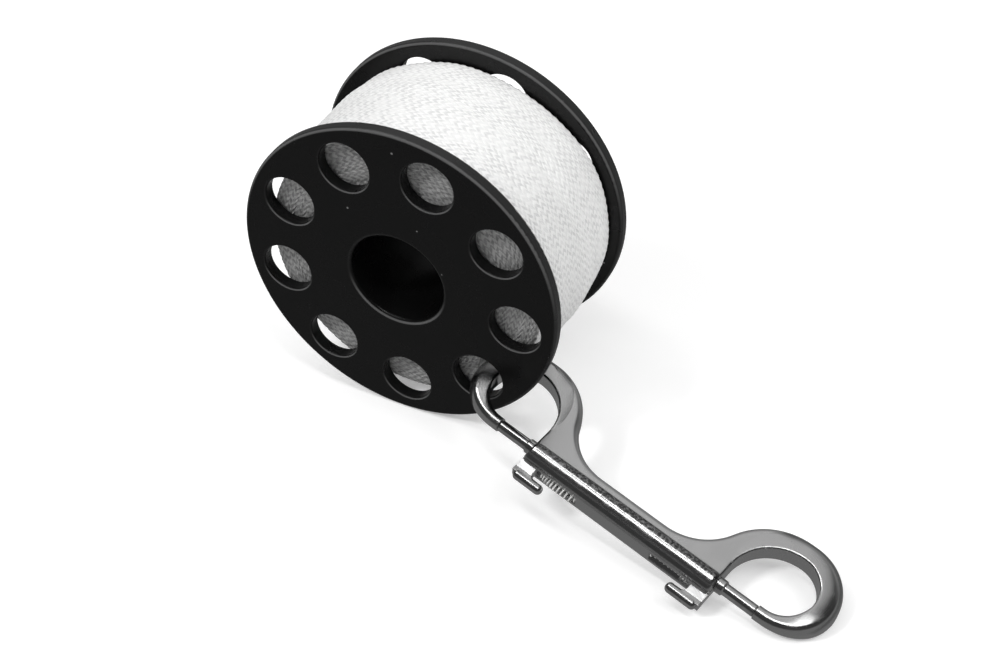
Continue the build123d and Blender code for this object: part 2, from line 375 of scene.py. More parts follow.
def ramp(tree, value, low, high, to_low=0.0, to_high=1.0):
    """Output of a node that carries one range smoothly to another and stays in it."""
    made = put(
        tree, "ShaderNodeMapRange", {0: value, 1: low, 2: high, 3: to_low, 4: to_high},
        interpolation_type="SMOOTHSTEP",
    )
    return made.outputs[0]


def stripe(tree, value, start, full, fade, end):
    """Output of a mask that rises from start to full and falls from fade to end."""
    rise = ramp(tree, value, start, full)
    return calculate(tree, "MULTIPLY", rise, ramp(tree, value, fade, end, 1.0, 0.0))


def measure(tree, vector):
    """Output of a node that gives a vector's length."""
    return put(tree, "ShaderNodeVectorMath", {0: vector}, operation="LENGTH").outputs["Value"]


def compare(tree, vector, way):
    """Output of a node that gives a vector's share along a way."""
    made = put(tree, "ShaderNodeVectorMath", {0: vector, 1: tuple(way)}, operation="DOT_PRODUCT")
    return made.outputs["Value"]


def new_group(name, inputs, outputs):
    """A shader node group with its two end nodes; inputs give each socket's kind and default."""
    tree = bpy.data.node_groups.new(name, "ShaderNodeTree")
    for label, (kind, default) in inputs.items():
        socket = tree.interface.new_socket(label, in_out="INPUT", socket_type=kind)
        if default is not None:
            socket.default_value = default
    for label, kind in outputs.items():
        tree.interface.new_socket(label, in_out="OUTPUT", socket_type=kind)
    return tree, tree.nodes.new("NodeGroupInput"), tree.nodes.new("NodeGroupOutput")


def grain_group():
    """Fine uneven height from two sizes of noise, and a mask from the coarse one."""
    if "grain" in bpy.data.node_groups:
        return bpy.data.node_groups["grain"]
    tree, given, result = new_group(
        "grain",
        {
            "Vector": ("NodeSocketVector", None),
            "Coarse": ("NodeSocketFloat", 200.0),
            "Fine": ("NodeSocketFloat", 2500.0),
            "Fine share": ("NodeSocketFloat", 0.5),
        },
        {"Height": "NodeSocketFloat", "Mask": "NodeSocketFloat"},
    )
    coarse = put(
        tree, "ShaderNodeTexNoise", {"Vector": given.outputs[0], "Scale": given.outputs[1], "Detail": 3.0}
    )
    fine = put(
        tree, "ShaderNodeTexNoise", {"Vector": given.outputs[0], "Scale": given.outputs[2], "Detail": 2.0}
    )
    height = calculate(tree, "MULTIPLY_ADD", fine.outputs[0], given.outputs[3], coarse.outputs[0])
    tree.links.new(height, result.inputs[0])
    tree.links.new(ramp(tree, coarse.outputs[0], 0.35, 0.65), result.inputs[1])
    return tree


def add_grain(tree, spot, coarse, fine, share):
    """The grain group with these two scales and the share of the fine one."""
    inputs = {"Vector": spot, "Coarse": coarse, "Fine": fine, "Fine share": share}
    return place(tree, grain_group(), inputs)


def add_bump(tree, height, strength=1.0, distance=1.0, normal=None):
    """Normal from a height; a strength and distance of 1 take the height in metres."""
    inputs = {"Strength": strength, "Distance": distance, "Height": height}
    if normal is not None:
        inputs["Normal"] = normal
    return put(tree, "ShaderNodeBump", inputs).outputs[0]


def dust_group():
    """Sparse small specks: the middles of some cells of a Voronoi pattern."""
    if "dust" in bpy.data.node_groups:
        return bpy.data.node_groups["dust"]
    tree, given, result = new_group(
        "dust",
        {
            "Vector": ("NodeSocketVector", None),
            "Scale": ("NodeSocketFloat", 250.0),
            "Size": ("NodeSocketFloat", 0.05),
            "Share": ("NodeSocketFloat", 0.1),
        },
        {"Mask": "NodeSocketFloat"},
    )
    cells = put(tree, "ShaderNodeTexVoronoi", {"Vector": given.outputs[0], "Scale": given.outputs[1]})
    chosen = put(tree, "ShaderNodeSeparateColor", {0: cells.outputs["Color"]})
    near = calculate(tree, "LESS_THAN", cells.outputs["Distance"], given.outputs[2])
    kept = calculate(tree, "LESS_THAN", chosen.outputs[0], given.outputs[3])
    tree.links.new(calculate(tree, "MULTIPLY", near, kept), result.inputs[0])
    return tree


def new_material(name):
    """An empty material with its surface node and the object's coordinates."""
    material = bpy.data.materials.new(name)
    material.use_nodes = True
    tree = material.node_tree
    tree.nodes.clear()
    surface = put(tree, "ShaderNodeBsdfPrincipled")
    output = put(tree, "ShaderNodeOutputMaterial")
    tree.links.new(surface.outputs[0], output.inputs[0])
    spot = put(tree, "ShaderNodeTexCoord").outputs["Object"]
    return material, tree, surface, spot


def edge_highlight_mask(tree, spot, reach):
    """Mask of the painted highlights on the rims and, on the front face, round the clip holes and the bore.

    The rims' highlights are painted on their upper side, and those on the holes' lips and the bore's mouth
    on their lower side."""
    parts = put(tree, "ShaderNodeSeparateXYZ", {0: spot})
    height = parts.outputs["Z"]
    rim = stripe(tree, reach, *(RIM_RADIUS - depth * MM for depth in (0.8, 0.4, 0.25, 0.05)))
    rim = calculate(tree, "MULTIPLY", rim, ramp(tree, height, 0.0, 0.6 * RIM_RADIUS, EDGE_REST, 1.0))

    angle = calculate(tree, "ARCTAN2", height, parts.outputs["X"])
    turn = calculate(tree, "SUBTRACT", angle, HOLE_ANGLE - HOLE_STEP / 2)
    turn = calculate(tree, "SUBTRACT", calculate(tree, "FLOORED_MODULO", turn, HOLE_STEP), HOLE_STEP / 2)
    wide = calculate(tree, "MULTIPLY", reach, calculate(tree, "SINE", turn))
    high = calculate(tree, "MULTIPLY", reach, calculate(tree, "COSINE", turn))
    high = calculate(tree, "SUBTRACT", high, HOLE_CIRCLE)
    near = measure(tree, put(tree, "ShaderNodeCombineXYZ", {0: wide, 1: high}).outputs[0])
    lip = stripe(tree, near, *(HOLE_RADIUS + step * MM for step in (0.05, 0.2, 0.35, 0.55)))
    middle = calculate(tree, "SINE", calculate(tree, "SUBTRACT", angle, turn))
    under = calculate(tree, "SUBTRACT", calculate(tree, "MULTIPLY", middle, HOLE_CIRCLE), height)
    lower = ramp(tree, under, *(share * HOLE_RADIUS for share in EDGE_FADE_SHARES), EDGE_REST, 1.0)
    lip = calculate(tree, "MULTIPLY", lip, lower)

    mouth = stripe(tree, reach, *(BORE_RADIUS + step * MM for step in (0.3, 0.6, 0.8, 1.15)))
    lower = ramp(tree, height, *(-share * BORE_RADIUS for share in EDGE_FADE_SHARES), EDGE_REST, 1.0)
    mouth = calculate(tree, "MULTIPLY", mouth, lower)
    front = ramp(tree, parts.outputs["Y"], FRONT_FACE + 0.6 * MM, FRONT_FACE + 0.2 * MM)
    edge = calculate(tree, "MAXIMUM", rim, calculate(tree, "MULTIPLY", lip, front))
    return calculate(tree, "MAXIMUM", edge, calculate(tree, "MULTIPLY", mouth, front))


def plastic_material(settings):
    """Black moulded plastic: fine grain, dust specks, rims paler from scuffs and painted sheen, painted
    edge highlights.
    """
    material, tree, surface, spot = new_material("moulded_black_plastic")
    grain = add_grain(tree, spot, 90.0, 3200.0, 0.35)
    dust = place(tree, dust_group(), {"Vector": spot, "Scale": 160.0, "Size": 0.045, "Share": 0.16})
    flat = put(tree, "ShaderNodeVectorMath", {0: spot, 1: (1.0, 0.0, 1.0)}, operation="MULTIPLY")
    reach = measure(tree, flat.outputs[0])
    # The rims' paler band is partly scuff and partly painted sheen
    rim = ramp(tree, reach, RIM_RADIUS - 0.9 * MM, RIM_RADIUS - 0.2 * MM)
    base = tone(settings.plastic_colour)
    scuffed = tone(settings.plastic_colour, SCUFF_AND_SHEEN_GAIN)
    worn = blend_colours(tree, calculate(tree, "MULTIPLY", rim, 0.8), base, scuffed)
    # The pale edges added here are painted highlights, not wear: the rims' upper side and the lower lips of
    # the holes and bore
    worn = blend_colours(tree, edge_highlight_mask(tree, spot, reach), worn, tone(EDGE_HIGHLIGHT_COLOUR))
    specks = calculate(tree, "MULTIPLY", dust.outputs[0], 0.6)
    dusty = blend_colours(tree, specks, worn, tone(DUST_COLOUR))
    roughness = settings.plastic_roughness
    rough = ramp(tree, grain.outputs["Mask"], 0.0, 1.0, roughness, roughness + 0.1)
    bump = add_bump(tree, grain.outputs[0], 0.25, 0.05 * MM)
    inputs = {"Base Color": dusty, "Roughness": rough, "Normal": bump, "Specular IOR Level": 0.24}
    feed(tree, surface, inputs)
    return material


def braid_group():
    """Height of the braid's strands from the run along the line and the share across a row.

    The second output marks the grooves between the rows."""
    if "braid" in bpy.data.node_groups:
        return bpy.data.node_groups["braid"]
    tree, given, result = new_group(
        "braid",
        {
            "Lay": ("NodeSocketVector", None),
            "Slant": ("NodeSocketFloat", 0.45),
            "Sharpness": ("NodeSocketFloat", 2.0),
        },
        {"Height": "NodeSocketFloat", "Groove": "NodeSocketFloat"},
    )
    parts = put(tree, "ShaderNodeSeparateXYZ", {0: given.outputs[0]})
    side = calculate(tree, "MULTIPLY_ADD", parts.outputs[1], 2.0, -1.0)
    away = calculate(tree, "ABSOLUTE", side)
    lean = calculate(tree, "MULTIPLY", away, given.outputs[1])
    turn = calculate(tree, "MULTIPLY", calculate(tree, "SUBTRACT", parts.outputs[0], lean), 2 * pi)
    left = calculate(tree, "MULTIPLY_ADD", calculate(tree, "COSINE", turn), 0.5, 0.5)
    right = calculate(tree, "SUBTRACT", 1.0, left)
    cross = ramp(tree, side, -0.1, 0.1)
    raised = put(tree, "ShaderNodeMix", {0: cross, 2: left, 3: right}).outputs[0]
    tree.links.new(calculate(tree, "POWER", raised, given.outputs[2]), result.inputs[0])
    tree.links.new(ramp(tree, away, 0.75, 1.0), result.inputs[1])
    return tree


def line_material(settings):
    """White braided nylon: pale strands, painted shade in the gaps, fine fibres, and painted shade on the
    sides next to the flanges.
    """
    material, tree, surface, spot = new_material("braided_nylon")
    grain = add_grain(tree, spot, 330.0, 4000.0, 0.6)
    level = put(tree, "ShaderNodeSeparateXYZ", {0: spot}).outputs["Y"]
    # side marks the line's sides next to the flanges, which get painted shade
    side = ramp(tree, calculate(tree, "ABSOLUTE", level), CORE_HIGH.y - 1.0 * MM, CORE_HIGH.y - 0.5 * MM)
    lay = put(tree, "ShaderNodeUVMap", uv_map="lay").outputs[0]
    braid = place(tree, braid_group(), {"Lay": lay, "Slant": settings.strand_slant_share, "Sharpness": 1.6})
    spread = put(tree, "ShaderNodeMapping", {"Vector": lay, "Scale": (1.6, 14.0, 1.0)})
    fibres = put(tree, "ShaderNodeTexNoise", {"Vector": spread.outputs[0], "Scale": 1.0, "Detail": 2.0})
    crest = ramp(tree, braid.outputs["Height"], 0.05, 0.5)
    crest = calculate(tree, "MAXIMUM", crest, calculate(tree, "MULTIPLY", braid.outputs["Groove"], 0.4))
    worn = ramp(tree, grain.outputs["Mask"], 0.0, 1.0, 0.0, 0.7)
    worn = calculate(tree, "MULTIPLY", worn, calculate(tree, "MULTIPLY_ADD", side, -0.5, 1.0))
    crest = calculate(tree, "MAXIMUM", crest, worn)
    # The gaps between the strands carry painted shade
    gap = blend_colours(
        tree, side, tone(settings.painted_gap_shade), tone(settings.painted_gap_shade, SIDE_GAP_PAINTED_SHADE)
    )
    strand = blend_colours(
        tree, side, tone(settings.colour), tone(settings.colour, SIDE_STRAND_PAINTED_SHADE)
    )
    shade = blend_colours(tree, crest, gap, strand)
    relief = calculate(tree, "MULTIPLY_ADD", grain.outputs[0], 0.3, fibres.outputs[0])
    relief = calculate(tree, "MULTIPLY_ADD", braid.outputs["Height"], 1.6, relief)
    bump = add_bump(tree, relief, 0.6, 0.08 * MM)
    feed(
        tree,
        surface,
        {
            "Base Color": shade,
            "Roughness": 0.5,
            "Normal": bump,
            "Sheen Weight": 0.1,
            "Specular IOR Level": 0.4,
        },
    )
    return material


def snap_ways(settings):
    """The snap's own ways: sideways towards the eyes' arms, and the way that its plate faces."""
    upward = np.cross(ALONG, LEVEL)
    sideways = LEVEL * cos(settings.bank) + upward * sin(settings.bank)
    return sideways, np.cross(ALONG, sideways)


def snap_place_group(settings):
    """Coordinates in the snap's own frame: along it, sideways towards the eyes' arms, and facing."""
    if "snap_place" in bpy.data.node_groups:
        return bpy.data.node_groups["snap_place"]
    tree, given, result = new_group(
        "snap_place",
        {"Vector": ("NodeSocketVector", None)},
        {"Along": "NodeSocketFloat", "Sideways": "NodeSocketFloat", "Facing": "NodeSocketFloat"},
    )
    middle = tuple(settings.center)
    local = put(tree, "ShaderNodeVectorMath", {0: given.outputs[0], 1: middle}, operation="SUBTRACT")
    for i, way in enumerate((ALONG, *snap_ways(settings))):
        tree.links.new(compare(tree, local.outputs[0], way), result.inputs[i])
    return tree


def casting_group():
    """How far the casting's faces sink away from flat: round outer sides of the eyes and of the flank.

    Sinking = sink share x width x (s^2 + s^6) with s the share across an eye's ring, where the sixth
    power holds only away from the barrel, and a 45 degree slope below the flank's start. The second
    output marks the barrel's back, which is rougher and grittier and takes a painted dark reflection."""
    if "casting" in bpy.data.node_groups:
        return bpy.data.node_groups["casting"]
    tree, given, result = new_group(
        "casting",
        {
            "Along": ("NodeSocketFloat", 0.0),
            "Sideways": ("NodeSocketFloat", 0.0),
            "Facing": ("NodeSocketFloat", 0.0),
        },
        {"Height": "NodeSocketFloat", "Back": "NodeSocketFloat"},
    )
    along = calculate(tree, "SUBTRACT", calculate(tree, "ABSOLUTE", given.outputs[0]), EYE_MIDDLE[0])
    beside = calculate(tree, "SUBTRACT", given.outputs[1], EYE_MIDDLE[1])
    spot = put(tree, "ShaderNodeCombineXYZ", {0: along, 1: beside})
    reach = measure(tree, spot.outputs[0])
    across = put(tree, "ShaderNodeMapRange", {0: reach, 1: EYE_RADIUS, 2: EYE_RADIUS + RING_WIDTH})
    share = across.outputs[0]
    soft = calculate(tree, "POWER", share, 2.0)
    steep = calculate(tree, "POWER", share, 6.0)
    steep = calculate(tree, "MULTIPLY", steep, ramp(tree, along, -9 * MM, -5 * MM))
    ring = calculate(tree, "ADD", soft, steep)
    ring = calculate(tree, "MULTIPLY", ring, -RING_SINK_SHARE * RING_WIDTH)
    below = calculate(tree, "MULTIPLY_ADD", given.outputs[1], -1.0, -FLANK_START)
    below = calculate(tree, "MAXIMUM", below, 0.0)
    flank = calculate(tree, "MULTIPLY", below, -1.0)
    tree.links.new(calculate(tree, "ADD", ring, flank), result.inputs[0])
    raised = ramp(tree, given.outputs[2], *BACK_TOP)
    back = ramp(tree, given.outputs[1], *BACK_EDGE)
    tree.links.new(calculate(tree, "MULTIPLY", raised, back), result.inputs[1])
    return tree


def cast_material(settings, snap):
    """Polished plated casting: rounded edges, soft ripples, small dull specks, and a grainy back with a
    painted dark reflection.
    """
    material, tree, surface, spot = new_material("plated_casting")
    grain = add_grain(tree, spot, 260.0, 2600.0, 0.12)
    pits = add_grain(tree, spot, 1500.0, 4200.0, 0.8)
    dust = place(tree, dust_group(), {"Vector": spot, "Scale": 900.0, "Size": 0.12, "Share": 0.12})
    ripple = put(tree, "ShaderNodeTexNoise", {"Vector": spot, "Scale": 120.0, "Detail": 1.0})
    local = place(tree, snap_place_group(snap), {"Vector": spot})
    casting = place(
        tree, casting_group(),
        {"Along": local.outputs[0], "Sideways": local.outputs[1], "Facing": local.outputs[2]},
    )
    back = casting.outputs["Back"]
    base = tone(settings.cast_colour)
    dull = tone(settings.cast_colour, 0.72)
    dark = tone(settings.cast_colour, BACK_PAINTED_REFLECTION)
    colour = blend_colours(tree, calculate(tree, "MULTIPLY", dust.outputs[0], 0.7), base, dull)
    # Painted dark reflection on the barrel's back, broken by paler grains
    dim = calculate(tree, "MULTIPLY", back, ramp(tree, pits.outputs["Height"], 0.8, 1.1, 1.0, 0.3))
    colour = blend_colours(tree, dim, colour, dark)
    roughness = settings.cast_roughness
    rough = ramp(tree, grain.outputs["Mask"], 0.0, 1.0, roughness, roughness + 0.1)
    rough = calculate(tree, "MULTIPLY_ADD", back, 0.1, rough)
    height = calculate(tree, "MULTIPLY_ADD", grain.outputs[0], 0.05, ripple.outputs[0])
    height = calculate(tree, "MULTIPLY_ADD", height, 0.15 * MM, casting.outputs["Height"])
    grit = calculate(tree, "MULTIPLY", back, pits.outputs["Height"])
    height = calculate(tree, "MULTIPLY_ADD", grit, 0.07 * MM, height)
    edge = put(tree, "ShaderNodeBevel", {"Radius": 0.5 * MM}, samples=6)
    bump = add_bump(tree, height, normal=edge.outputs[0])
    feed(tree, surface, {"Base Color": colour, "Metallic": 1.0, "Roughness": rough, "Normal": bump})
    return material


def turned_material(settings, snap):
    """Bright turned metal with fine rings round the bolts and satin necks on the thumb slides, painted
    paler as a sheen.
    """
    material, tree, surface, spot = new_material("turned_metal")
    local = place(tree, snap_place_group(snap), {"Vector": spot})
    reach, beside = local.outputs[0], local.outputs[1]
    rings = put(
        tree, "ShaderNodeTexNoise", {"W": reach, "Scale": 6000.0, "Detail": 1.0}, noise_dimensions="1D"
    )
    grain = add_grain(tree, spot, 400.0, 3000.0, 0.2)
    neck = stripe(
        tree, beside, NECK_OUTER, NECK_OUTER + 0.3 * MM, NECK_INNER, NECK_INNER + 0.3 * MM
    )
    rough = ramp(tree, grain.outputs["Mask"], 0.0, 1.0, 0.12, 0.24)
    rough = calculate(tree, "MULTIPLY_ADD", neck, 0.3, rough)
    edge = put(tree, "ShaderNodeBevel", {"Radius": 0.25 * MM}, samples=6)
    held = calculate(tree, "MINIMUM", calculate(tree, "MAXIMUM", beside, NECK_OUTER), NECK_INNER)
    slope = calculate(tree, "MULTIPLY", held, 0.2)
    height = calculate(tree, "MULTIPLY_ADD", rings.outputs[0], 0.008 * MM, slope)
    bump = add_bump(tree, height, normal=edge.outputs[0])
    base = tone(settings.turned_colour)
    colour = blend_colours(tree, grain.outputs["Mask"], base, tone(settings.turned_colour, 0.8))
    # Painted sheen: the necks take a paler colour
    colour = blend_colours(tree, neck, colour, tone(NECK_PAINTED_SHEEN))
    feed(tree, surface, {"Base Color": colour, "Metallic": 1.0, "Roughness": rough, "Normal": bump})
    return material


def wire_material(settings):
    """Drawn spring wire."""
    material, tree, surface, spot = new_material("drawn_wire")
    grain = add_grain(tree, spot, 900.0, 6000.0, 0.4)
    base = tone(settings.wire_colour)
    colour = blend_colours(tree, grain.outputs["Mask"], base, tone(settings.wire_colour, 0.7))
    rough = ramp(tree, grain.outputs["Mask"], 0.0, 1.0, 0.22, 0.38)
    bump = add_bump(tree, grain.outputs[0], 0.2, 0.02 * MM)
    feed(tree, surface, {"Base Color": colour, "Metallic": 0.15, "Roughness": rough, "Normal": bump})
    return material


def new_piece(name, points, faces, material):
    """An object at the origin from an array of points and a list of face arrays."""
    mesh = bpy.data.meshes.new(name)
    mesh.from_pydata(points.tolist(), [], [face for rows in faces for face in rows.tolist()])
    mesh.shade_smooth()
    mesh.materials.append(material)
    piece = bpy.data.objects.new(name, mesh)
    bpy.context.scene.collection.objects.link(piece)
    return piece


def waves(first, second, seed, count, first_top, second_top):
    """Sum of sines of two coordinates with whole turns of the first one, about 1 high."""
    random = np.random.default_rng(seed)
    total = np.zeros(np.broadcast(first, second).shape)
    for _ in range(count):
        turns = random.integers(1, first_top)
        rate = random.uniform(-second_top, second_top)
        total += np.sin(turns * first + rate * second + random.uniform(0, 2 * pi))
    return total / np.sqrt(count)


def line_meridian(settings):
    """Half section of the wound line as places along the spool and radii at even lengths.

    It climbs the front side, turns a rounded corner, follows a parabola of the crown's height between
    the two edge radii and goes down the rear side."""
    half = CORE_HIGH.y - SIDE_GAP
    front_top = settings.edge_radius - LINE_CORNER
    rear_top = settings.rear_radius - LINE_CORNER
    turn = np.linspace(0, pi / 2, CORNER_POINTS)
    across = np.linspace(-1, 1, CROWN_POINTS)
    crest = (settings.edge_radius * (1 - across) + settings.rear_radius * (1 + across)) / 2
    place = [
        np.full(SIDE_POINTS, -half),
        -half + LINE_CORNER * (1 - np.cos(turn)),
        across * (half - LINE_CORNER),
        half - LINE_CORNER * (1 - np.sin(turn)),
        np.full(SIDE_POINTS, half),
    ]
    radius = [
        np.linspace(SIDE_INNER_RADIUS, front_top, SIDE_POINTS),
        front_top + LINE_CORNER * np.sin(turn),
        crest + settings.crown * (1 - across**2),
        rear_top + LINE_CORNER * np.cos(turn),
        np.linspace(rear_top, SIDE_INNER_RADIUS, SIDE_POINTS),
    ]
    place, radius = np.concatenate(place), np.concatenate(radius)
    length = np.concatenate([[0], np.cumsum(np.hypot(np.diff(place), np.diff(radius)))])
    kept = np.concatenate([[True], np.diff(length) > 0])
    even = np.linspace(0, length[-1], PATH_STEPS)
    return even, np.interp(even, length[kept], place[kept]), np.interp(even, length[kept], radius[kept])


def smooth(value, low, high):
    """Goes smoothly from 0 at the low value to 1 at the high one."""
    share = np.clip((value - low) / (high - low), 0, 1)
    return share * share * (3 - 2 * share)


def strand_height(run, side, slant):
    """Height of the strands from 0 to 1: two sets that slant out from the row's middle.

    One set is a raised cosine of the run less the slant; the other lies half a period on."""
    left = 0.5 + 0.5 * np.cos(2 * pi * (run - slant * np.abs(side)))
    cross = smooth(side, -0.15, 0.15)
    return (left + (1 - 2 * left) * cross) ** 1.4


def press_dent(points):
    """Pushes the line back, along the spool, out of the disc that the snap's eye turns in."""
    facing = snap_ways(bpy.context.scene.spool_snap)[1]
    inward = np.array((0.0, 1.0, 0.0)) - facing[1] * facing
    inward /= np.linalg.norm(inward)
    local = points - SWING_POINT
    depth = local @ inward
    reach = local @ np.cross(facing, inward)
    end = np.sqrt(np.clip(DENT_RADIUS**2 - reach**2, 0, None))
    pressed = 1 - smooth(np.abs(local @ facing), DENT_HALF_WIDTH, DENT_HALF_WIDTH + DENT_SLOPE)
    push = np.clip(end - depth, 0, None) * (1 - DENT_CROWDING) * pressed * (end > 0)
    return points + push[..., None] * inward


def line_surface(settings, turn, share, meridian):
    """Points of the line and the runs along it in strand periods, for turns and shares across a row.

    The rows follow a helix: length along the meridian = pitch x (turn + share). Each row is a round
    back over its groove with the strands on it. Two sums of sines make the rows wander and swell, and
    a seeded random walk makes the strands drift. On its right side the line is wound higher."""
    even, places, radii = meridian
    angle = 2 * pi * turn
    side = 2 * share - 1
    length = settings.row_pitch * (turn + share)
    length = length + 0.3 * MM * waves(angle, length, seed=7, count=9, first_top=7, second_top=600.0)
    place = np.interp(length, even, places)
    radius = np.interp(length, even, radii)
    slope_place = np.interp(length, even, np.gradient(places, even))
    slope_radius = np.interp(length, even, np.gradient(radii, even))
    steep = np.hypot(slope_place, slope_radius)
    out_place, out_radius = -slope_radius / steep, slope_place / steep

    row = -settings.row_depth * side**2
    run = 2 * pi * np.cumsum(np.ones_like(turn) * radius, axis=0) / TURN_STEPS / settings.strand_period
    knots = np.arange(-1, turn.max() * PHASE_KNOTS_PER_TURN + 2)
    drift = np.cumsum(np.random.default_rng(23).normal(0, PHASE_SPREAD, len(knots)))
    run = run + np.interp(turn * PHASE_KNOTS_PER_TURN, knots, drift)
    strands = strand_height(run, side, settings.strand_slant_share)
    fade = 1 - side**6
    relief = row + settings.strand_relief * ((strands - 1) * fade - 0.5 * (1 - fade))
    outward = np.clip(out_radius, 0, 1)
    relief = relief * (1.4 - 0.85 * outward)

    swell = waves(angle, place, seed=11, count=12, first_top=12, second_top=700.0)
    radius = radius + relief * out_radius + 0.14 * MM * outward * swell
    turned = np.abs((angle - GAIN_MIDDLE + pi) % (2 * pi) - pi)
    gained = (1 - smooth(turned, GAIN_INNER, GAIN_OUTER)) * smooth(place, CORE_LOW.y, CORE_HIGH.y)
    radius = radius + settings.side_gain * outward * gained
    place = place + relief * out_place
    points = np.stack([radius * np.cos(angle), place, radius * np.sin(angle)], axis=-1)
    return press_dent(points), run


def wind_band(settings, band, meridian, material):
    """One closed band of turns: the helical strip, its two sides down to the hub and the hub's wall."""
    total = int(meridian[0][-1] / settings.row_pitch) - 1
    bounds = [round(total * i / BAND_COUNT) for i in range(BAND_COUNT + 1)]
    first, last = bounds[band], bounds[band + 1]
    steps = (last - first) * TURN_STEPS
    turn = first + np.arange(steps + TURN_STEPS + 1)[:, None] / TURN_STEPS
    share = np.arange(ROW_STEPS)[None, :] / ROW_STEPS
    points, run = line_surface(settings, turn, share + 0 * turn, meridian)
    body = (steps + 1) * ROW_STEPS
    strip = points[: steps + 1].reshape(-1, 3)
    edge = points[steps + 1 :, 0]

    def index(i, j):
        """Number of a point of the strip; a row's far edge is the near edge of the next turn."""
        over = j == ROW_STEPS
        i, j = i + TURN_STEPS * over, np.where(over, 0, j)
        return np.where(i <= steps, i * ROW_STEPS + j, body + i - steps - 1)

    i, j = (a.ravel() for a in np.meshgrid(np.arange(steps), np.arange(ROW_STEPS), indexing="ij"))
    faces = [np.stack([index(i, j), index(i, j + 1), index(i + 1, j + 1), index(i + 1, j)], axis=1)]

    ring = 2 * pi * np.arange(TURN_STEPS) / TURN_STEPS
    hub_x, hub_z = HUB_RADIUS * np.cos(ring), HUB_RADIUS * np.sin(ring)
    ends = (points[: TURN_STEPS, 0, 1].mean(), edge[:, 1].mean())
    rings = [np.stack([hub_x, 0 * ring + y, hub_z], axis=1) for y in ends]
    low, high = len(strip) + len(edge), len(strip) + len(edge) + TURN_STEPS
    n = np.arange(TURN_STEPS)
    m = (n + 1) % TURN_STEPS
    k = np.arange(ROW_STEPS)
    faces.append(np.stack([index(n, 0 * n), index(n + 1, 0 * n), low + m, low + n], axis=1))
    last_edge, last_next = index(steps + n, 0 * n), index(steps + n + 1, 0 * n)
    faces.append(np.stack([last_edge, high + n, high + m, last_next], axis=1))
    faces.append(np.stack([low + n, low + m, high + m, high + n], axis=1))
    faces.append(np.stack([index(0 * k, k + 1), index(0 * k, k), low + 0 * k], axis=1))
    faces.append(np.stack([index(0 * k + steps, k), index(0 * k + steps, k + 1), high + 0 * k], axis=1))
    piece = new_piece(f"line_turns_{band + 1}", np.concatenate([strip, edge, *rings]), faces, material)

    mesh = piece.data
    corners = np.zeros((len(mesh.loops), 2), np.float32)
    runs = run[:, 0]
    strip_i = np.stack([i, i, i + 1, i + 1], axis=1).ravel()
    strip_j = np.stack([j, j + 1, j + 1, j], axis=1).ravel()
    corners[: 4 * len(i), 0] = runs[strip_i]
    corners[: 4 * len(i), 1] = strip_j / ROW_STEPS
    mesh.uv_layers.new(name="lay").data.foreach_set("uv", corners.ravel())
    return piece


class SPOOL_OT_wind_line(bpy.types.Operator):
    """Winds the braided line on the hub as four bands of turns"""

    bl_idname = "spool.wind_line"
    bl_label = "Wind the line"

    def execute(self, context):
        settings = context.scene.spool_line
        material = line_material(settings)
        meridian = line_meridian(settings)
        for band in range(BAND_COUNT):
            piece = wind_band(settings, band, meridian, material)
            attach(piece, "spool")
            if band == 0:
                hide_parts("line_core", "line_winding")
        return {"FINISHED"}


